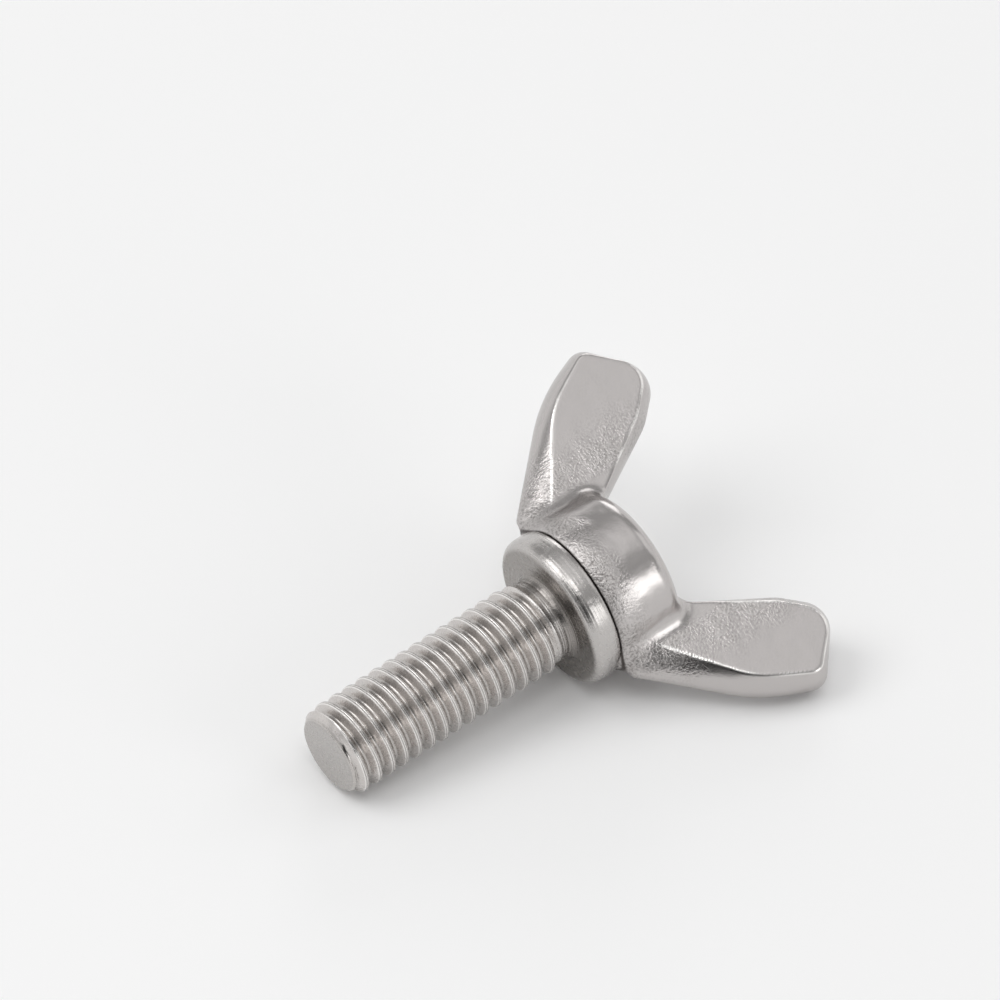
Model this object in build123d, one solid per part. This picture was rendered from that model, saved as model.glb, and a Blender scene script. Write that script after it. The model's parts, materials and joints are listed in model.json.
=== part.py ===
"""Wing screw, M6: a cold-headed collar screw held for good in a cast wing head.

Both pieces are first built upright, with the tip of the shank at the origin, the axis along +Z and the
wings along X. They are then laid down together as the screw comes to rest on a flat surface, on three
points: the end of its thread, the base edge of its hub and the rim of one wing. Sizes are in millimetres.
"""
from build123d import *
from math import asin, atan2, cos, degrees, hypot, radians, sin
import os

# Screw: thread, tip, neck and collar. Heights are measured from the tip.
thread_radius = 2.925           # major radius of a rolled M6 thread
neck_radius = 2.65              # plain shank behind the thread, about the thread's pitch radius
tip_radius = 2.36               # flat end face
tip_chamfer_length = 0.60
thread_end = 15.20              # where the thread has run out into the neck
bearing_height = 16.60          # the collar's bearing face, so the length under the head
neck_fillet = 0.60              # flare from the neck into the bearing face
collar_radius = 4.92
collar_face_radius = 4.35       # flat part of the bearing face
collar_rim_length = 0.80        # length of the rounded rim along the axis
collar_back_chamfer = 0.20
seam_height = 18.40             # the face where collar and hub meet

# Stem of the screw, pressed into a blind bore of the head
stem_radius = 2.00
stem_length = 3.20

# Hub of the wing head. Heights are measured up from the seam.
hub_base_radius = 5.12
hub_base_round = 0.30
hub_top_radius = 4.98           # the side draws in a little, as a casting does
hub_top_round = 1.00
hub_height = 4.75

# Wings: each is a thick paddle between two flat faces, with a rim that bulges out between them.
# Corners are (distance from the axis, height above the seam), from the root on the shank side, round
# the outer end and back to the root inside the V. Each corner has its own radius.
wing_half_thickness = 1.55
wing_root_fillet = 0.80
rim_corners = [
    (1.50, 0.15),
    (5.90, 0.15),
    (11.50, 6.10),
    (12.80, 9.70),
    (8.95, 12.95),
    (6.60, 10.40),
    (3.30, 4.30),
    (1.50, 3.30),
]
rim_radii = [0.0, 0.5, 11.0, 1.0, 1.8, 4.0, 0.5, 0.0]
face_corners = [
    (1.50, 1.20),
    (4.20, 1.20),
    (10.30, 5.85),
    (12.20, 9.45),
    (9.40, 12.30),
    (7.15, 9.95),
    (3.80, 4.60),
    (1.50, 3.00),
]
face_radii = [0.0, 0.5, 6.0, 0.8, 1.5, 4.0, 0.5, 0.0]
rim_section_angles = (-90, -60, -30, 0, 30, 60, 90)   # sections round the rim's half-elliptical bulge

# Range that holds the angle by which the lying screw has rolled onto its wing, and how closely it is found
least_roll = radians(10)
most_roll = radians(40)
roll_accuracy = radians(0.005)


def make_threaded_screw():
    """Shank, neck, collar and stem, turned about the axis from one profile."""
    neck_start = thread_end + thread_radius - neck_radius
    fillet_start = bearing_height - neck_fillet
    fillet_radius = neck_radius + neck_fillet
    rim_end = bearing_height + collar_rim_length
    stem_end = seam_height + stem_length
    with BuildSketch(Plane.XZ) as profile:
        with BuildLine():
            Polyline(
                (0, 0),
                (tip_radius, 0),
                (thread_radius, tip_chamfer_length),
                (thread_radius, thread_end),
                (neck_radius, neck_start),
                (neck_radius, fillet_start),
            )
            RadiusArc((neck_radius, fillet_start), (fillet_radius, bearing_height), neck_fillet)
            Line((fillet_radius, bearing_height), (collar_face_radius, bearing_height))
            EllipticalCenterArc(
                (collar_face_radius, rim_end),
                collar_radius - collar_face_radius,
                collar_rim_length,
                start_angle=-90,
                arc_size=90,
            )
            Polyline(
                (collar_radius, rim_end),
                (collar_radius, seam_height - collar_back_chamfer),
                (collar_radius - collar_back_chamfer, seam_height),
                (stem_radius, seam_height),
                (stem_radius, stem_end),
                (0, stem_end),
                (0, 0),
            )
        make_face()
    return revolve(profile.sketch, Axis.Z)


def make_hub():
    """Round hub with an eased base edge, a slightly drawn-in side and a rounded shoulder."""
    top = seam_height + hub_height
    with BuildSketch(Plane.XZ) as profile:
        with BuildLine():
            FilletPolyline(
                (0, seam_height),
                (hub_base_radius, seam_height),
                (hub_top_radius, top),
                (0, top),
                radius=[hub_base_round, hub_top_round],
            )
            Line((0, top), (0, seam_height))
        make_face()
    return revolve(profile.sketch, Axis.Z)


def blend(face_value, rim_value, share):
    """The value that lies this share of the way from the wing's flat face out to the middle of its rim."""
    return face_value + (rim_value - face_value) * share


def wing_section(angle):
    """Outline of the wing in the plane that this angle round the rim's bulge reaches."""
    share = cos(radians(angle))
    corners = [
        (blend(face[0], rim[0], share), blend(face[1], rim[1], share))
        for face, rim in zip(face_corners, rim_corners)
    ]
    corner_radii = [blend(face, rim, share) for face, rim in zip(face_radii, rim_radii)]
    offset = wing_half_thickness * sin(radians(angle))
    plane = Plane(origin=(0, offset, seam_height), x_dir=(1, 0, 0), z_dir=(0, -1, 0))
    return plane * make_face(FilletPolyline(*corners, radius=corner_radii, close=True))


def make_wing():
    """The wing on the +X side, as a loft from one flat face through the rim to the other."""
    return loft([wing_section(angle) for angle in rim_section_angles])


def make_wing_head(wing):
    """Hub and two wings in one casting, with rounded roots and the blind bore that holds the stem."""
    hub = make_hub()
    other_wing = mirror(wing, about=Plane.YZ)
    casting = hub + wing + other_wing
    casting = fillet(new_edges(hub, wing, other_wing, combined=casting), wing_root_fillet)
    stem_bore = Pos(0, 0, seam_height + stem_length / 2) * Cylinder(stem_radius, stem_length)
    return casting - stem_bore


def resting_pitch():
    """How far the axis rises towards the head, over a surface that the thread's end and the hub's edge touch."""
    run = seam_height + hub_base_round - tip_chamfer_length
    rise = hub_base_radius - hub_base_round - thread_radius
    return atan2(rise, run) + asin(hub_base_round / hypot(run, rise))


def lying(roll):
    """Place that lays an upright piece down, its head towards +X and its +X wing towards -Y and down."""
    pitch = resting_pitch()
    wing_direction = (sin(roll) * sin(pitch), -cos(roll), -sin(roll) * cos(pitch))
    axis_direction = (cos(pitch), 0, sin(pitch))
    return Plane(origin=(0, 0, 0), x_dir=wing_direction, z_dir=axis_direction).location


def resting_roll(wing):
    """Roll about the axis at which the wing reaches down to the surface that the thread's end lies on."""
    pitch = resting_pitch()
    surface = tip_chamfer_length * sin(pitch) - thread_radius * cos(pitch)
    low, high = least_roll, most_roll
    while high - low > roll_accuracy:
        middle = (low + high) / 2
        if (lying(middle) * wing).bounding_box().min.Z > surface:
            low = middle
        else:
            high = middle
    return low


wing = make_wing()
upright_pieces = {"threaded_screw": make_threaded_screw(), "wing_head": make_wing_head(wing)}
laid_down = lying(resting_roll(wing))
pieces = {name: laid_down * piece for name, piece in upright_pieces.items()}

# The origin is the middle of the underside of the box round both pieces
box = Compound(list(pieces.values())).bounding_box()
to_origin = Pos(-box.center().X, -box.center().Y, -box.min.Z)

os.makedirs("parts", exist_ok=True)
for name, piece in pieces.items():
    export_step(to_origin * piece, f"parts/{name}.step")
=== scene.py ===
"""Wing screw: a cold-headed, rolled stainless screw held in a tumbled stainless casting with two wings.

Both pieces are meshed here at full detail, in the screw's own upright millimetres: the tip's centre at the
origin, the axis along +Z and the wings along X. One matrix, read from the frame, lays them down in place.
"""
import json
import math

import bmesh
import bpy
import numpy as np
from mathutils import Matrix, Vector


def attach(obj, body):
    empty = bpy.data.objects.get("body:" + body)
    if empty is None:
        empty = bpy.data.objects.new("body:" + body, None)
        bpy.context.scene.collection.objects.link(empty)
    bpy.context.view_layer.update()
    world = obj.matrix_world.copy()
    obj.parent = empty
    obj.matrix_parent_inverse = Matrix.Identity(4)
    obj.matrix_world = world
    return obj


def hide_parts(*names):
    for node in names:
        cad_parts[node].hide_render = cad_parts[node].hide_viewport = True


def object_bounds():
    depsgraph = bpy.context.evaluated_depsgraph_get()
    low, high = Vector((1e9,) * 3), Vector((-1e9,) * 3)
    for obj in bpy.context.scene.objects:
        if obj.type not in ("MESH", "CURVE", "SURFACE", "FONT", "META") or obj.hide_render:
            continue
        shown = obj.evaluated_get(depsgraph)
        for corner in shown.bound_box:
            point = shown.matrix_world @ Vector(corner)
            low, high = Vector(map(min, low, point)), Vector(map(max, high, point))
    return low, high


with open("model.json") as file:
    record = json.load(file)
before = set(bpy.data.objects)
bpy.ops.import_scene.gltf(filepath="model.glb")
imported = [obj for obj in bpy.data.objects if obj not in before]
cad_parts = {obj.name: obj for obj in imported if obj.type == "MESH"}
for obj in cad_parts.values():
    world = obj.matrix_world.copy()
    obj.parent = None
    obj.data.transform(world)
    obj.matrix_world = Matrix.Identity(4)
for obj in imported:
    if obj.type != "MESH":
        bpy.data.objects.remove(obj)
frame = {"nodes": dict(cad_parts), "record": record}
cad_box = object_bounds()
mounts = {mount["name"]: mount for mount in frame["record"]["mounts"]}

MILLIMETRE = 0.001

# Screw, in millimetres. Heights are measured from the tip.
THREAD_RADIUS = mounts["thread"]["dims"]["r_mm"]
THREAD_LENGTH = mounts["thread"]["dims"]["length_mm"]
TIP_RADIUS = 2.36
TIP_CHAMFER_LENGTH = 0.60
TIP_EDGE_ROUND = 0.05
TIP_DISH = 0.03                 # how far the middle of the tip's face is sunk
TIP_RING_SHARES = (0.25, 0.5, 0.75, 0.9, 0.98)      # of the dish's radius
NECK_RADIUS = 2.65
NECK_FILLET = 0.50
COLLAR_RADIUS = 4.92
COLLAR_FACE_RADIUS = 4.35
COLLAR_RIM_LENGTH = 0.80
COLLAR_BACK_DEPTH = 0.22        # the rim's rounded back edge, across and along the axis
COLLAR_BACK_LENGTH = 0.50
COLLAR_LENGTH = 1.80            # from the bearing face to the seam
STEM_RADIUS = 2.00
STEM_LENGTH = 3.20
SCREW_COLUMNS = 216             # mesh columns round the axis
FILLET_RINGS = 12
RIM_RINGS = 18
FACE_RING_INSET = 0.3           # rings this far inside the edges of a flat face keep it flat
STEM_RING_INSET = 0.5

# Thread: rolled, right-hand, with a flat crest and a round root. It is the same on both sides of a crest, and
# the places of its edge, flank and root are distances along the axis from the crest's middle.
PITCH = 1.0
CREST_WIDTH = 0.21
CREST_EDGE_ROUND = 0.04
CREST_SEAM_HALF_WIDTH = 0.035   # rolling leaves a fine seam along the middle of the crest
CREST_SEAM_DEPTH = 0.025
ROOT_ROUND = 0.144
THREAD_DEPTH = 0.54
FLANK_ANGLE = math.radians(30)  # between a flank and the plane across the axis
EDGE_START = CREST_WIDTH / 2 - CREST_EDGE_ROUND * math.tan(FLANK_ANGLE)
EDGE_LENGTH = CREST_EDGE_ROUND * math.cos(FLANK_ANGLE)
EDGE_END = EDGE_START + EDGE_LENGTH
ROOT_START = PITCH / 2 - ROOT_ROUND * math.cos(FLANK_ANGLE)
SEAM_ROW = 0.018                # mesh rows between the corners of the thread's outline
FLANK_ROWS = (0.18, 0.25, 0.32)
ROOT_ROW = 0.43
CREST_PHASE = 0.80              # height, in pitches, at which a crest crosses the wings' +X side
RUNOUT_START = 14.9             # the groove fades out between these two heights
RUNOUT_END = 15.7
RUN_IN_LENGTH = 0.3             # the groove deepens over this length from the tip
THREAD_ROWS_START = 0.02        # height of the first mesh row that follows the helix

# Hub of the wing head. Heights are measured up from the seam.
HUB_BASE_RADIUS = 5.12
HUB_BASE_ROUND = 0.15
HUB_BASE_DROP = 0.30            # the side curves in by this much over the length beside the seam
HUB_BASE_LENGTH = 1.20
HUB_TOP_RADIUS = 4.98
HUB_TOP_ROUND = 1.00
HUB_HEIGHT = 4.75

# Wings
WING_HALF_THICKNESS = 1.55
WING_ROOT_FILLET = 0.90
CREASE_ROUND = 0.08
CREASE_HIGHLIGHT_WIDTH = 0.13              # the painted highlight reaches this far to each side of the crease
CREASE_HIGHLIGHT_DEPTH = 0.25        # and this far down the rim

# Outlines as (distance from the axis, height above the seam, corner radius): round the middle of the rim, and
# round the edge of the flat face
RIM_OUTLINE = [
    (1.50, 0.15, 0.0),
    (5.90, 0.15, 0.5),
    (11.50, 6.10, 11.0),
    (12.80, 9.70, 1.0),
    (8.95, 12.95, 1.8),
    (6.60, 10.40, 4.0),
    (3.30, 4.30, 0.5),
    (1.50, 3.30, 0.0),
]
FACE_OUTLINE = [
    (1.50, 1.20, 0.0),
    (4.20, 1.20, 0.5),
    (10.30, 5.85, 6.0),
    (12.20, 9.45, 0.8),
    (9.40, 12.30, 1.5),
    (7.15, 9.95, 4.0),
    (3.80, 4.60, 0.5),
    (1.50, 3.00, 0.0),
]

HEAD_GRID_SPACING = 0.12        # of the grid that the head's surface is found on
HEAD_GRID_MARGIN = 0.3
LEAST_STEEPNESS = 0.2           # limits each step that moves a point onto the surface

# Cleaning of the meshes, in metres: closer points are merged, and shorter edges are taken out
MERGE_DISTANCE = 1e-7
LEAST_EDGE = 1e-8


# ---------------------------------------------------------------------------------------------- frame

def wing_direction(axis):
    """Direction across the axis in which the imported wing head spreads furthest, taken on its low side."""
    mesh = frame["nodes"]["wing_head"].data
    mesh.calc_loop_triangles()
    points = np.array([vertex.co for vertex in mesh.vertices])
    triangles = points[np.array([triangle.vertices for triangle in mesh.loop_triangles])]
    middles = triangles.mean(axis=1)
    sides = np.cross(triangles[:, 1] - triangles[:, 0], triangles[:, 2] - triangles[:, 0])
    areas = np.linalg.norm(sides, axis=1)
    offsets = middles - np.average(middles, axis=0, weights=areas)
    offsets -= np.outer(offsets @ axis, axis)
    spread = (offsets * areas[:, None]).T @ offsets
    direction = np.linalg.eigh(spread)[1][:, -1]
    return direction if direction[2] < 0 else -direction


def upright_to_row():
    """Matrix from the screw's own upright millimetres to the row frame."""
    thread = mounts["thread"]
    towards_tip = np.array(thread["axis"])
    tip = np.array(thread["pos_m"]) + towards_tip * (THREAD_LENGTH / 2 + TIP_CHAMFER_LENGTH) * MILLIMETRE
    along_axis = -towards_tip
    along_wing = wing_direction(along_axis)
    across = np.cross(along_axis, along_wing)
    matrix = np.eye(4)
    matrix[:3, 0] = along_wing * MILLIMETRE
    matrix[:3, 1] = across * MILLIMETRE
    matrix[:3, 2] = along_axis * MILLIMETRE
    matrix[:3, 3] = tip
    return matrix


TO_ROW = upright_to_row()

# Up from the tip, in millimetres. The matrix's own columns are a millimetre long.
BEARING_OFFSET = np.array(mounts["bearing_face"]["pos_m"]) - TO_ROW[:3, 3]
BEARING_HEIGHT = float(BEARING_OFFSET @ TO_ROW[:3, 2]) / MILLIMETRE ** 2
SEAM_HEIGHT = BEARING_HEIGHT + COLLAR_LENGTH


def add_piece(name, points, faces, node, material):
    """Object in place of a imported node, from upright points, which an attribute keeps, and faces."""
    row_points = points @ TO_ROW[:3, :3].T + TO_ROW[:3, 3]
    mesh = bpy.data.meshes.new(name)
    mesh.from_pydata(row_points.tolist(), [], faces)
    upright = mesh.attributes.new("upright", "FLOAT_VECTOR", "POINT")
    upright.data.foreach_set("vector", points.astype(np.float32).ravel())
    work = bmesh.new()
    work.from_mesh(mesh)
    bmesh.ops.remove_doubles(work, verts=work.verts, dist=MERGE_DISTANCE)
    bmesh.ops.dissolve_degenerate(work, edges=work.edges, dist=LEAST_EDGE)
    bmesh.ops.recalc_face_normals(work, faces=work.faces)
    work.to_mesh(mesh)
    work.free()
    mesh.shade_smooth()
    mesh.materials.append(material)
    piece = bpy.data.objects.new(name, mesh)
    bpy.context.scene.collection.objects.link(piece)
    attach(piece, "root")
    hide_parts(node)
    return piece


# ---------------------------------------------------------------------------------------------- screw

def smooth_step(value, start, end):
    """Goes smoothly from 0 to 1 while the value goes from start to end."""
    share = np.clip((value - start) / (end - start), 0, 1)
    return share * share * (3 - 2 * share)


def thread_groove(offset):
    """Depth under the crest at this distance along the axis from the crest's middle, up to half a pitch."""
    distance = np.abs(offset)
    into_edge = np.clip(distance - EDGE_START, 0, EDGE_LENGTH)
    edge = CREST_EDGE_ROUND - np.sqrt(CREST_EDGE_ROUND ** 2 - into_edge ** 2)
    seam = CREST_SEAM_DEPTH * np.clip(1 - distance / CREST_SEAM_HALF_WIDTH, 0, 1)
    flank = (distance - CREST_WIDTH / 2) / math.tan(FLANK_ANGLE)
    from_root = np.clip(PITCH / 2 - distance, 0, ROOT_ROUND)
    root = THREAD_DEPTH - ROOT_ROUND + np.sqrt(ROOT_ROUND ** 2 - from_root ** 2)
    return np.where(distance < EDGE_END, edge + seam, np.where(distance < ROOT_START, flank, root))


def shank_radius(height, turn):
    """Radius of the threaded stretch at this height, at this share of a turn round the axis."""
    place = height / PITCH - turn - CREST_PHASE
    offset = (place - np.round(place)) * PITCH
    groove = thread_groove(offset) * smooth_step(height, 0, RUN_IN_LENGTH)
    threaded = THREAD_RADIUS - groove
    faded = NECK_RADIUS + (threaded - NECK_RADIUS) * (1 - smooth_step(height, RUNOUT_START, RUNOUT_END))
    chamfer = TIP_RADIUS + height * (THREAD_RADIUS - TIP_RADIUS) / TIP_CHAMFER_LENGTH
    return np.minimum(faded, chamfer)


def thread_row_places():
    """Places, in pitches from the crest's middle, of the mesh rows across one pitch of the thread."""
    seam = [0, SEAM_ROW, CREST_SEAM_HALF_WIDTH]
    edge = [EDGE_START, EDGE_START + EDGE_LENGTH / 2, EDGE_END]
    half = np.array([*seam, *edge, *FLANK_ROWS, ROOT_START, ROOT_ROW]) / PITCH
    return np.array([*half, 0.5, *(1 - half[:0:-1])])


def arc_rings(centre_radius, centre_height, radial, axial, start, end, steps):
    """(radius, height) of rings along an elliptical arc, whose angles are measured from the outward side."""
    angles = np.radians(np.linspace(start, end, steps))
    return [(centre_radius + radial * math.cos(a), centre_height + axial * math.sin(a)) for a in angles]


def screw_rings():
    """Rings before and after the threaded stretch, as (radius, height)."""
    dish_radius = TIP_RADIUS - TIP_EDGE_ROUND
    tip_rings = [(share * dish_radius, TIP_DISH * (1 - share ** 2)) for share in TIP_RING_SHARES]
    on_edge_round = (TIP_RADIUS - TIP_EDGE_ROUND * 0.4, TIP_EDGE_ROUND * 0.08)
    tip_rings.append(on_edge_round)

    fillet_radius = NECK_RADIUS + NECK_FILLET
    fillet_height = BEARING_HEIGHT - NECK_FILLET
    rim_height = BEARING_HEIGHT + COLLAR_RIM_LENGTH
    rim_depth = COLLAR_RADIUS - COLLAR_FACE_RADIUS
    back_radius = COLLAR_RADIUS - COLLAR_BACK_DEPTH
    back_height = SEAM_HEIGHT - COLLAR_BACK_LENGTH
    end_height = SEAM_HEIGHT + STEM_LENGTH
    head_rings = [
        (NECK_RADIUS, RUNOUT_END + 0.1),
        *arc_rings(fillet_radius, fillet_height, NECK_FILLET, NECK_FILLET, 180, 90, FILLET_RINGS),
        (fillet_radius + FACE_RING_INSET, BEARING_HEIGHT),
        (COLLAR_FACE_RADIUS - FACE_RING_INSET, BEARING_HEIGHT),
        *arc_rings(COLLAR_FACE_RADIUS, rim_height, rim_depth, COLLAR_RIM_LENGTH, -90, 0, RIM_RINGS),
        *arc_rings(back_radius, back_height, COLLAR_BACK_DEPTH, COLLAR_BACK_LENGTH, 0, 90, FILLET_RINGS),
        (STEM_RADIUS + STEM_RING_INSET, SEAM_HEIGHT),
        (STEM_RADIUS, SEAM_HEIGHT),
        (STEM_RADIUS, end_height),
        (STEM_RADIUS / 2, end_height),
    ]
    return tip_rings, head_rings


def make_screw(material):
    """The screw as rings round the axis, with rows that follow the helix where it is threaded.

    The helix rows begin below the tip and end above the run-out, and are cut off level at both ends.
    """
    turns = np.arange(SCREW_COLUMNS) / SCREW_COLUMNS
    angles = turns * 2 * math.pi
    places = thread_row_places()
    pitches = range(-2, math.ceil(RUNOUT_END / PITCH) + 2)
    rows = np.concatenate([places + pitch for pitch in pitches])
    heights = (rows[:, None] + turns[None, :] + CREST_PHASE) * PITCH
    heights = np.clip(heights, THREAD_ROWS_START, RUNOUT_END)
    radii = shank_radius(heights, turns[None, :])
    tip_rings, head_rings = screw_rings()

    points = [[(0, 0, TIP_DISH)]]

    def add_ring(radius, height):
        first = sum(len(block) for block in points)
        height = np.broadcast_to(height, angles.shape)
        points.append(np.stack([radius * np.cos(angles), radius * np.sin(angles), height], axis=1))
        return range(first, first + SCREW_COLUMNS)

    tip_rows = [add_ring(*ring) for ring in tip_rings]
    thread_rows = [add_ring(*ring) for ring in zip(radii, heights)]
    head_rows = [add_ring(*ring) for ring in head_rings]
    end_point = sum(len(block) for block in points)
    points.append([(0, 0, SEAM_HEIGHT + STEM_LENGTH)])

    faces = []

    def join(lower, upper, columns=SCREW_COLUMNS):
        for column in range(columns):
            following = (column + 1) % SCREW_COLUMNS
            faces.append((lower[column], lower[following], upper[following], upper[column]))

    def join_all(rows):
        for lower, upper in zip(rows, rows[1:]):
            join(lower, upper)

    for column in range(SCREW_COLUMNS):
        following = (column + 1) % SCREW_COLUMNS
        faces.append((0, tip_rows[0][following], tip_rows[0][column]))
        faces.append((end_point, head_rows[-1][column], head_rows[-1][following]))
    join_all([*tip_rows, thread_rows[0]])
    join_all([thread_rows[-1], *head_rows])

    # A helix row climbs a pitch in a turn, so its last column meets the row that began a pitch further on
    for row in range(len(rows) - 1):
        lower, upper = thread_rows[row], thread_rows[row + 1]
        join(lower, upper, SCREW_COLUMNS - 1)
        lower_met = thread_rows[min(row + len(places), len(rows) - 1)]
        upper_met = thread_rows[min(row + len(places) + 1, len(rows) - 1)]
        faces.append((lower[-1], lower_met[0], upper_met[0], upper[-1]))
    add_piece("rolled_screw", np.concatenate(points), faces, "threaded_screw", material)


# ------------------------------------------------------------------------------------------ wing head

def rounded_outline(corners):
    """Straight runs and arcs of a closed outline whose corners are given as (x, y, radius), anticlockwise."""
    runs, arcs = [], []
    count = len(corners)
    starts, ends = [], []
    for index, (x, y, radius) in enumerate(corners):
        corner = np.array([x, y])
        before = np.array(corners[index - 1][:2]) - corner
        after = np.array(corners[(index + 1) % count][:2]) - corner
        before /= np.linalg.norm(before)
        after /= np.linalg.norm(after)
        half_angle = math.acos(float(np.clip(before @ after, -1, 1))) / 2
        reach = radius / math.tan(half_angle)
        starts.append(corner + before * reach)
        ends.append(corner + after * reach)
        if radius > 0:
            middle = (before + after) / np.linalg.norm(before + after)
            centre = corner + middle * radius / math.sin(half_angle)
            convex = before[0] * after[1] - before[1] * after[0] < 0
            arcs.append((centre, radius, starts[-1], ends[-1], convex))
    for index in range(count):
        runs.append((ends[index], starts[(index + 1) % count]))
    return runs, arcs


def outline_distance(outline, x, y):
    """Distance from points to an outline of runs and arcs, negative inside."""
    runs, arcs = outline
    nearest = np.full(x.shape, np.inf)
    signed = np.zeros(x.shape)

    def keep(distance, side):
        nonlocal nearest, signed
        closer = distance < nearest
        nearest = np.where(closer, distance, nearest)
        signed = np.where(closer, distance * side, signed)

    for start, end in runs:
        along = end - start
        length = np.linalg.norm(along)
        along = along / length
        dx, dy = x - start[0], y - start[1]
        share = np.clip(dx * along[0] + dy * along[1], 0, length)
        side = np.where(along[1] * dx - along[0] * dy > 0, 1.0, -1.0)
        keep(np.hypot(dx - along[0] * share, dy - along[1] * share), side)
    for centre, radius, start, end, convex in arcs:
        dx, dy = x - centre[0], y - centre[1]
        reach = np.hypot(dx, dy)
        middle = start + end - 2 * centre
        middle = middle / np.linalg.norm(middle)
        spread = (start - centre) @ middle
        within = dx * middle[0] + dy * middle[1] >= spread / radius * reach
        distance = np.where(within, np.abs(reach - radius), np.inf)
        outside = reach > radius if convex else reach < radius
        keep(distance, np.where(outside, 1.0, -1.0))
    return signed


RIM = rounded_outline(RIM_OUTLINE)
FACE = rounded_outline(FACE_OUTLINE)


def round_join(one, other, radius):
    """Joins two solids given as distances, with a round fillet between them."""
    reach = np.hypot(np.maximum(radius - one, 0), np.maximum(radius - other, 0))
    return np.maximum(radius, np.minimum(one, other)) - reach


def round_common(one, other, radius):
    """What two solids have in common, with a rounded edge."""
    reach = np.hypot(np.maximum(radius + one, 0), np.maximum(radius + other, 0))
    return np.minimum(-radius, np.maximum(one, other)) + reach


def hub_distance(radius, height):
    """Hub: a slightly tapered drum that draws in beside the seam, with rounded ends."""
    share = np.clip(height / HUB_HEIGHT, 0, 1)
    by_seam = np.clip(1 - height / HUB_BASE_LENGTH, 0, 1)
    side = HUB_BASE_RADIUS + (HUB_TOP_RADIUS - HUB_BASE_RADIUS) * share
    side = side - HUB_BASE_DROP * by_seam ** 2
    beyond_side = radius - side
    beyond_end = np.abs(height - HUB_HEIGHT / 2) - HUB_HEIGHT / 2
    edge = np.where(height < HUB_HEIGHT / 2, HUB_BASE_ROUND, HUB_TOP_ROUND)
    outside = np.hypot(np.maximum(beyond_side + edge, 0), np.maximum(beyond_end + edge, 0))
    return outside + np.minimum(np.maximum(beyond_side, beyond_end) + edge, 0) - edge


def wing_distance(across, thickness, height):
    """Both wings: a slab between flat faces, in common with a rim that bulges out beyond the faces."""
    out = np.abs(across)
    face = outline_distance(FACE, out, height)
    rim = outline_distance(RIM, out, height)
    share = thickness / WING_HALF_THICKNESS
    bulge = rim + (face - rim) * share ** 2
    steepness = 2 * (face - rim) * share / WING_HALF_THICKNESS
    bulge = bulge / np.sqrt(1 + steepness ** 2)
    return round_common(np.abs(thickness) - WING_HALF_THICKNESS, bulge, CREASE_ROUND)


def head_distance(points):
    """Signed distance, near the surface, from upright points measured up from the seam to the wing head."""
    x, y, z = points[..., 0], points[..., 1], points[..., 2]
    radius = np.hypot(x, y)
    solid = round_join(hub_distance(radius, z), wing_distance(x, y, z), WING_ROOT_FILLET)
    bore = np.maximum(radius - STEM_RADIUS, z - STEM_LENGTH)
    return np.maximum(solid, -bore)


def surface_net(distance, low, high, spacing):
    """Quads on the zero surface of a distance function, one vertex in each grid cell that it crosses."""
    axes = [np.arange(a, b + spacing, spacing) for a, b in zip(low, high)]
    grid = np.stack(np.meshgrid(*axes, indexing="ij"), axis=-1)
    values = distance(grid)
    counts = [len(axis) - 1 for axis in axes]
    total = np.zeros((*counts, 3))
    crossings = np.zeros(counts)
    quads = []
    corner = np.array(low)

    # Each grid edge that crosses the surface gives a point to the four cells round it, and a quad to the mesh
    for axis in range(3):
        first = [slice(None)] * 3
        second = [slice(None)] * 3
        first[axis] = slice(0, -1)
        second[axis] = slice(1, None)
        before, after = values[tuple(first)], values[tuple(second)]
        crossed = (before < 0) != (after < 0)
        where = np.argwhere(crossed)
        share = before[crossed] / (before[crossed] - after[crossed])
        places = corner + where * spacing
        places[:, axis] += share * spacing
        one, two = [other for other in range(3) if other != axis]
        cells = []
        for step_one, step_two in ((0, 0), (-1, 0), (-1, -1), (0, -1)):
            cell = where.copy()
            cell[:, one] += step_one
            cell[:, two] += step_two
            np.add.at(total, tuple(cell.T), places)
            np.add.at(crossings, tuple(cell.T), 1)
            cells.append(cell)
        flip = (before[crossed] < 0) != (axis == 1)
        quads.append((cells, flip))
    active = crossings > 0
    index = np.full(counts, -1)
    index[active] = np.arange(active.sum())
    vertices = total[active] / crossings[active][:, None]
    faces = []
    for cells, flip in quads:
        rows = np.stack([index[tuple(cell.T)] for cell in cells], axis=1)
        rows[flip] = rows[flip][:, ::-1]
        faces.append(rows)
    return vertices, np.concatenate(faces)


def gradient(distance, points, step=0.01):
    """Slope of the distance function at each point."""
    result = np.zeros_like(points)
    for axis in range(3):
        shift = np.zeros(3)
        shift[axis] = step
        result[:, axis] = (distance(points + shift) - distance(points - shift)) / (2 * step)
    return result


def settle(distance, points, rounds=3):
    """Moves points onto the zero surface."""
    for _ in range(rounds):
        slope = gradient(distance, points)
        steepness = np.maximum((slope ** 2).sum(axis=1), LEAST_STEEPNESS)
        points = points - slope * (distance(points) / steepness)[:, None]
    return points


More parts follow.
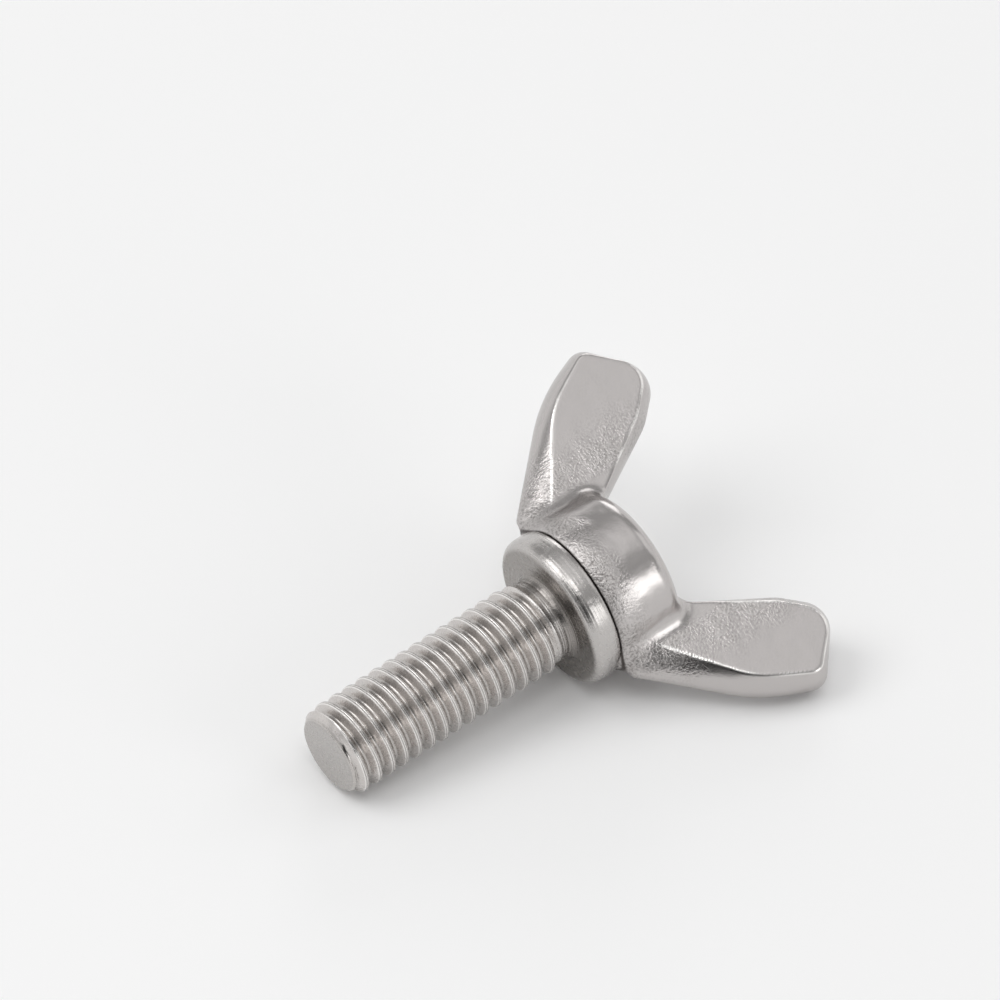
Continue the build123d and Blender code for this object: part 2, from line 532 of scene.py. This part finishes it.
def mark_crease_highlight(mesh):
    """Attribute for the painted highlight: 1 on the edge between a wing's flat face and its rim, and fades
    out beside it.
    """
    flat = np.empty(len(mesh.vertices) * 3, dtype=np.float32)
    mesh.attributes["upright"].data.foreach_get("vector", flat)
    points = flat.reshape(-1, 3).astype(float)
    away = np.abs(outline_distance(FACE, np.abs(points[:, 0]), points[:, 2] - SEAM_HEIGHT))
    by_face = np.clip(1 - np.abs(np.abs(points[:, 1]) - WING_HALF_THICKNESS) / CREASE_HIGHLIGHT_DEPTH, 0, 1)
    off_hub = np.clip((np.hypot(points[:, 0], points[:, 1]) - HUB_BASE_RADIUS) / WING_ROOT_FILLET, 0, 1)
    painted_highlight = np.clip(1 - away / CREASE_HIGHLIGHT_WIDTH, 0, 1) * by_face * off_hub
    crease_highlight = mesh.attributes.new("crease_highlight", "FLOAT", "POINT")
    crease_highlight.data.foreach_set("value", painted_highlight.astype(np.float32))


def make_head(material):
    """The wing head as one mesh on its zero surface, with the bore for the stem."""
    reach = max(x for x, _, _ in RIM_OUTLINE) + HEAD_GRID_MARGIN
    side = HUB_BASE_RADIUS + HEAD_GRID_MARGIN
    top = max(y for _, y, _ in RIM_OUTLINE) + HEAD_GRID_MARGIN
    low = (-reach, -side, -HEAD_GRID_MARGIN)
    high = (reach, side, top)
    points, faces = surface_net(head_distance, low, high, HEAD_GRID_SPACING)
    points = settle(head_distance, points)
    points[:, 2] += SEAM_HEIGHT
    piece = add_piece("cast_wing_head", points, faces.tolist(), "wing_head", material)
    mark_crease_highlight(piece.data)


# ----------------------------------------------------------------------------------------- materials

CAST_STEEL = (0.54, 0.515, 0.505, 1)
# painted shade in the pits of the pebbling
PAINTED_PIT_SHADE = (0.33, 0.31, 0.30, 1)
# painted highlight along the wing creases
PAINTED_CREASE_HIGHLIGHT = (0.92, 0.90, 0.88, 1)
# painted shade in the groove between collar and hub
PAINTED_SEAM_SHADE = (0.08, 0.07, 0.065, 1)
TIP_STEEL = (0.47, 0.45, 0.435, 1)
COLLAR_STEEL = (0.53, 0.51, 0.495, 1)
# painted shade: the bearing face is darkened in place of the shaded floor and shank that it reflects
BEARING_FACE_PAINTED_SHADE = (0.31, 0.29, 0.275, 1)
# Thread colours are painted light and shade: highlights on the crest edges, lightened flanks, and shade on
# the roots and crests
THREAD_EDGE_PAINTED_HIGHLIGHT = (0.88, 0.86, 0.84, 1)
THREAD_FLANK_PAINTED_LIGHT = (0.63, 0.60, 0.58, 1)
THREAD_ROOT_PAINTED_SHADE = (0.50, 0.475, 0.455, 1)
THREAD_CREST_PAINTED_SHADE = (0.44, 0.42, 0.405, 1)
CAST_ROUGHNESS = (0.24, 0.32)           # smooth, and pebbled
ROLLED_ROUGHNESS = (0.22, 0.30)         # between scuffs, and on them

# Grains to a millimetre, and relief in millimetres
PATCH_GRAIN = 0.5
PEBBLE_GRAIN = 6.5
PEBBLE_DEPTH = 0.11
RIPPLE_GRAIN = 0.8
RIPPLE_DEPTH = 0.06
SCUFF_GRAIN = 3.0
SCUFF_DEPTH = 0.02
TURNED_LINE_GRAIN = 6.0
TURNED_LINE_DEPTH = 0.05

# Where one finish goes over into another: pairs of heights, or of distances from the axis
SEAM_SHADE_WIDTH = (0.02, 0.11)         # painted shade's width, up or down from the seam
HUB_PEBBLES_END = (0.5, 2.6)            # up from the seam
HUB_EDGE = (HUB_BASE_RADIUS + 0.1, HUB_BASE_RADIUS + 0.9)     # between hub and wings
WING_PEBBLES_END = (5.6, 9.5)
RIPPLES_CALM = (5.5, 9.0)
THREAD_COLOUR_START = (0.04, 0.10)      # up from the tip
CREST_DEPTHS = (0.015, 0.003)           # under the crest, as the next two
FLANK_DEPTHS = (0.10, 0.04)
ROOT_DEPTHS = (THREAD_DEPTH, 0.3)
COLLAR_COLOUR_START = (RUNOUT_END, RUNOUT_END + 0.6)
BEARING_FACE_EDGE = (4.3, 4.7)
NECK_LINES_END = (3.2, 4.3)


def add_node(tree, kind, **settings):
    node = tree.nodes.new(kind)
    for name, value in settings.items():
        setattr(node, name, value)
    return node


def feed(tree, socket, value):
    """Links a socket to another, or sets it to a value."""
    if isinstance(value, bpy.types.NodeSocket):
        tree.links.new(value, socket)
    else:
        socket.default_value = value


def calculate(tree, operation, first, second=0.0):
    node = add_node(tree, "ShaderNodeMath", operation=operation)
    feed(tree, node.inputs[0], first)
    feed(tree, node.inputs[1], second)
    return node.outputs[0]


def rise(tree, value, start, end, low=0.0, high=1.0):
    """Goes smoothly from the low to the high result while the value goes from start to end."""
    node = add_node(tree, "ShaderNodeMapRange", interpolation_type="SMOOTHSTEP")
    for name, setting in (("From Min", start), ("From Max", end), ("To Min", low), ("To Max", high)):
        node.inputs[name].default_value = setting
    feed(tree, node.inputs["Value"], value)
    return node.outputs["Result"]


def grain(tree, place, scale, detail, roughness=0.5):
    """Noise, about 0 to 1, of this many grains to a millimetre."""
    node = add_node(tree, "ShaderNodeTexNoise")
    node.inputs["Scale"].default_value = scale
    node.inputs["Detail"].default_value = detail
    node.inputs["Roughness"].default_value = roughness
    feed(tree, node.inputs["Vector"], place)
    return node.outputs["Fac"]


def mix_colours(tree, share, first, second):
    node = add_node(tree, "ShaderNodeMix", data_type="RGBA")
    feed(tree, node.inputs["Factor"], share)
    feed(tree, node.inputs["A"], first)
    feed(tree, node.inputs["B"], second)
    return node.outputs["Result"]


def bump(tree, height, depth, normal=None):
    """Relief of this depth, in millimetres, for a height of 0 to 1."""
    node = add_node(tree, "ShaderNodeBump")
    node.inputs["Distance"].default_value = depth * MILLIMETRE
    feed(tree, node.inputs["Height"], height)
    if normal is not None:
        feed(tree, node.inputs["Normal"], normal)
    return node.outputs["Normal"]


def start_metal(name):
    """A metal material, with the upright place in millimetres, the distance from the axis and the height."""
    material = bpy.data.materials.new(name)
    material.use_nodes = True
    tree = material.node_tree
    shader = tree.nodes["Principled BSDF"]
    shader.inputs["Metallic"].default_value = 1.0
    place = add_node(tree, "ShaderNodeAttribute", attribute_name="upright").outputs["Vector"]
    parts = add_node(tree, "ShaderNodeSeparateXYZ")
    tree.links.new(place, parts.inputs["Vector"])
    across = calculate(tree, "MULTIPLY", parts.outputs["X"], parts.outputs["X"])
    through = calculate(tree, "MULTIPLY", parts.outputs["Y"], parts.outputs["Y"])
    radius = calculate(tree, "SQRT", calculate(tree, "ADD", across, through))
    return material, tree, shader, place, radius, parts.outputs["Z"]


def painted_seam_shade(tree, height):
    """Share of painted shade: 1 in the groove where collar and hub meet, 0 elsewhere."""
    away = calculate(tree, "ABSOLUTE", calculate(tree, "SUBTRACT", height, SEAM_HEIGHT))
    return rise(tree, away, *SEAM_SHADE_WIDTH, 1.0, 0.0)


def make_cast_metal():
    """Tumbled casting: satin and rippled, pebbled by the seam and the wing roots, with painted shade in the
    pits and in the seam's groove, and a painted highlight along its creases.
    """
    material, tree, shader, place, radius, height = start_metal("cast_stainless")
    patches = grain(tree, place, PATCH_GRAIN, 1.0)
    pebbles = grain(tree, place, PEBBLE_GRAIN, 2.0, 0.55)
    ripples = grain(tree, place, RIPPLE_GRAIN, 1.0)

    height_over_seam = calculate(tree, "SUBTRACT", height, SEAM_HEIGHT)
    by_seam = rise(tree, height_over_seam, *HUB_PEBBLES_END, 1.0, 0.05)
    on_hub = rise(tree, radius, *HUB_EDGE, 1.0, 0.0)
    off_hub = calculate(tree, "SUBTRACT", 1.0, on_hub)
    by_root = rise(tree, radius, *WING_PEBBLES_END, 0.70, 0.05)
    on_hub_by_seam = calculate(tree, "MULTIPLY", by_seam, on_hub)
    on_wing_by_root = calculate(tree, "MULTIPLY", by_root, off_hub)
    pebbled = calculate(tree, "ADD", on_hub_by_seam, on_wing_by_root)
    pebbled = calculate(tree, "MULTIPLY", pebbled, rise(tree, patches, 0.35, 0.62, 0.45, 1.0))

    calmed = calculate(tree, "MULTIPLY", ripples, rise(tree, radius, *RIPPLES_CALM, 1.0, 0.35))
    relief = calculate(tree, "MULTIPLY", pebbles, pebbled)
    rippled = bump(tree, calmed, RIPPLE_DEPTH)
    tree.links.new(bump(tree, relief, PEBBLE_DEPTH, rippled), shader.inputs["Normal"])

    # Painted shade: the low points of the pebble relief are coloured darker
    pit_shade = calculate(tree, "MULTIPLY", rise(tree, pebbles, 0.38, 0.52, 1.0, 0.0), pebbled)
    # Painted highlight: a bright colour along the creases, patchy
    crease_highlight = add_node(tree, "ShaderNodeAttribute", attribute_name="crease_highlight").outputs["Fac"]
    unevenness = rise(tree, patches, 0.35, 0.6, 0.25, 1.0)
    painted_highlight = calculate(tree, "MULTIPLY", rise(tree, crease_highlight, 0.05, 0.6), unevenness)
    colour = mix_colours(tree, pit_shade, CAST_STEEL, PAINTED_PIT_SHADE)
    colour = mix_colours(tree, painted_highlight, colour, PAINTED_CREASE_HIGHLIGHT)
    # painted shade in the groove at the seam
    colour = mix_colours(tree, painted_seam_shade(tree, height), colour, PAINTED_SEAM_SHADE)
    tree.links.new(colour, shader.inputs["Base Color"])
    tree.links.new(rise(tree, pebbled, 0.0, 1.0, *CAST_ROUGHNESS), shader.inputs["Roughness"])
    return material


def rolled_colour(tree, radius, height):
    """Colour with painted highlights on the thread edges, lightened flanks, painted shade on the crests and
    roots, and painted shade on the bearing face and in the seam's groove.
    """
    behind_tip = rise(tree, height, *THREAD_COLOUR_START)
    before_neck = rise(tree, height, RUNOUT_START, RUNOUT_END, 1.0, 0.0)
    on_thread = calculate(tree, "MULTIPLY", before_neck, behind_tip)
    by_collar = rise(tree, height, *COLLAR_COLOUR_START)

    def thread_part(start, end, low, high):
        """Goes from low to high between these depths under the major radius, and is 0 off the thread."""
        part = rise(tree, radius, THREAD_RADIUS - start, THREAD_RADIUS - end, low, high)
        return calculate(tree, "MULTIPLY", on_thread, part)

    # Painted shade on the bearing face
    face = calculate(tree, "MULTIPLY", by_collar, rise(tree, radius, *BEARING_FACE_EDGE, 1.0, 0.0))
    flank = thread_part(*FLANK_DEPTHS, 1.0, 0.0)
    root = thread_part(*ROOT_DEPTHS, 1.0, 0.0)
    crest = thread_part(*CREST_DEPTHS, 0.0, 1.0)
    colour = mix_colours(tree, by_collar, TIP_STEEL, COLLAR_STEEL)
    # On the thread, the edges get a painted highlight, the flanks are lightened, and the roots and crests get
    # painted shade
    for share, steel in (
        (face, BEARING_FACE_PAINTED_SHADE),
        (on_thread, THREAD_EDGE_PAINTED_HIGHLIGHT),
        (flank, THREAD_FLANK_PAINTED_LIGHT),
        (root, THREAD_ROOT_PAINTED_SHADE),
        (crest, THREAD_CREST_PAINTED_SHADE),
        (painted_seam_shade(tree, height), PAINTED_SEAM_SHADE),
    ):
        colour = mix_colours(tree, share, colour, steel)
    return colour


def make_rolled_metal():
    """Rolled and cold-headed steel: scuffed all over, with turned lines on the neck and the bearing face."""
    material, tree, shader, place, radius, height = start_metal("rolled_stainless")
    tree.links.new(rolled_colour(tree, radius, height), shader.inputs["Base Color"])

    outward = calculate(tree, "ADD", radius, height)
    lines = add_node(tree, "ShaderNodeTexNoise", noise_dimensions="1D")
    lines.inputs["Scale"].default_value = TURNED_LINE_GRAIN
    lines.inputs["Detail"].default_value = 2.0
    tree.links.new(outward, lines.inputs["W"])
    behind_thread = rise(tree, height, RUNOUT_START, RUNOUT_END)
    by_neck = calculate(tree, "MULTIPLY", behind_thread, rise(tree, radius, *NECK_LINES_END, 1.0, 0.35))
    turned = calculate(tree, "MULTIPLY", lines.outputs["Fac"], calculate(tree, "ADD", by_neck, 0.1))
    scuffs = grain(tree, place, SCUFF_GRAIN, 3.0)
    scuffed = bump(tree, scuffs, SCUFF_DEPTH)
    tree.links.new(bump(tree, turned, TURNED_LINE_DEPTH, scuffed), shader.inputs["Normal"])
    tree.links.new(rise(tree, scuffs, 0.3, 0.7, *ROLLED_ROUGHNESS), shader.inputs["Roughness"])
    return material


make_screw(make_rolled_metal())
make_head(make_cast_metal())


# ------------------------------------------------------------------------------------- floor and light

# (sine of the elevation, brightness of the studio there), from the horizon to straight up
WORLD_BRIGHTNESS = [
    (0.0, 0.95),
    (0.25, 0.95),
    (0.42, 0.35),
    (0.60, 0.40),
    (0.82, 0.46),
    (0.95, 0.92),
    (1.0, 0.95),
]
DARK_CORNER = (-42, 26)         # azimuth and elevation of the unlit part of the studio, in degrees
DARK_CORNER_INNER = 17          # it is darkest within this angle, and has ended at the outer one
DARK_CORNER_OUTER = 33
DARK_CORNER_SHARE = 0.97

FLOOR_SIDE = 4
FLOOR_PAINT = (0.97, 0.97, 0.97, 1)
FLOOR_ROUGHNESS = 0.9

# Name, azimuth and elevation in degrees, distance and side in metres, and radiance
SOFTBOXES = [
    ("key", -118, 50, 0.8, 0.50, 2.4),
    ("fill", 80, 38, 0.9, 0.50, 0.6),
    ("front_top", -35, 68, 0.8, 0.30, 2.4),
    ("front", 21, 22, 0.9, 0.35, 1.8),
    ("back", 140, 22, 0.9, 0.35, 1.6),
]


def make_floor():
    bpy.ops.mesh.primitive_plane_add(size=FLOOR_SIDE)
    floor = bpy.context.object
    floor.name = "floor"
    material = bpy.data.materials.new("floor_paint")
    material.use_nodes = True
    shader = material.node_tree.nodes["Principled BSDF"]
    shader.inputs["Base Color"].default_value = FLOOR_PAINT
    shader.inputs["Roughness"].default_value = FLOOR_ROUGHNESS
    floor.data.materials.append(material)


def from_middle(azimuth, elevation):
    """Unit vector from the object towards this azimuth and elevation, in degrees."""
    turn = math.radians(azimuth)
    lift = math.radians(elevation)
    return Vector((math.sin(turn) * math.cos(lift), -math.cos(turn) * math.cos(lift), math.sin(lift)))


def make_world():
    """Studio, bright overhead and at the horizon, with an unlit corner that gives the metal its darks."""
    world = bpy.data.worlds.new("studio")
    bpy.context.scene.world = world
    world.use_nodes = True
    tree = world.node_tree
    direction = add_node(tree, "ShaderNodeTexCoord").outputs["Generated"]
    parts = add_node(tree, "ShaderNodeSeparateXYZ")
    tree.links.new(direction, parts.inputs["Vector"])
    ramp = add_node(tree, "ShaderNodeValToRGB")
    tree.links.new(parts.outputs["Z"], ramp.inputs["Fac"])
    steps = ramp.color_ramp.elements
    while len(steps) < len(WORLD_BRIGHTNESS):
        steps.new(0.5)
    for step, (height, brightness) in zip(steps, WORLD_BRIGHTNESS):
        step.position = height
        step.color = (brightness, brightness, brightness, 1)
    towards = add_node(tree, "ShaderNodeVectorMath", operation="DOT_PRODUCT")
    tree.links.new(direction, towards.inputs[0])
    towards.inputs[1].default_value = from_middle(*DARK_CORNER)
    outer = math.cos(math.radians(DARK_CORNER_OUTER))
    inner = math.cos(math.radians(DARK_CORNER_INNER))
    dark = rise(tree, towards.outputs["Value"], outer, inner, 0.0, DARK_CORNER_SHARE)
    colour = mix_colours(tree, dark, ramp.outputs["Color"], (0, 0, 0, 1))
    tree.links.new(colour, tree.nodes["Background"].inputs["Color"])


def make_softbox(name, azimuth, elevation, distance, side, radiance):
    """Square lamp that faces the object."""
    lamp = bpy.data.lights.new(name, "AREA")
    lamp.shape = "SQUARE"
    lamp.size = side
    lamp.energy = radiance * math.pi * side ** 2
    holder = bpy.data.objects.new(name, lamp)
    bpy.context.scene.collection.objects.link(holder)
    away = from_middle(azimuth, elevation)
    holder.location = away * distance
    holder.rotation_euler = (-away).to_track_quat("-Z", "Y").to_euler()


# ---------------------------------------------------------------------------------------------- camera

CAMERA_AZIMUTH = -38.3
CAMERA_ELEVATION = 45.25
CAMERA_ROLL = 1.37
CAMERA_DISTANCE = 2.004         # metres from the middle of the box
CAMERA_LENS = 1208.0
AIM_RIGHT = -0.00198            # the aim, from the middle of the box, in metres across and up the view
AIM_UP = 0.00647


def make_camera():
    """Long lens, so nearly parallel, at the angle of the product picture."""
    low, high = cad_box
    back = from_middle(CAMERA_AZIMUTH, CAMERA_ELEVATION)
    level = (-back).to_track_quat("-Z", "Y").to_matrix()
    turn = level @ Matrix.Rotation(math.radians(CAMERA_ROLL), 3, "Z")
    camera = bpy.data.cameras.new("camera")
    camera.lens = CAMERA_LENS
    camera.sensor_width = 36
    camera.clip_start = 0.1
    camera.clip_end = 20
    holder = bpy.data.objects.new("camera", camera)
    bpy.context.scene.collection.objects.link(holder)
    aim = (low + high) / 2 + turn @ Vector((AIM_RIGHT, AIM_UP, 0))
    holder.location = aim + back * CAMERA_DISTANCE
    holder.rotation_euler = turn.to_euler()
    bpy.context.scene.camera = holder


make_floor()
make_world()
for softbox in SOFTBOXES:
    make_softbox(*softbox)
make_camera()
bpy.context.scene.view_settings.view_transform = "Standard"
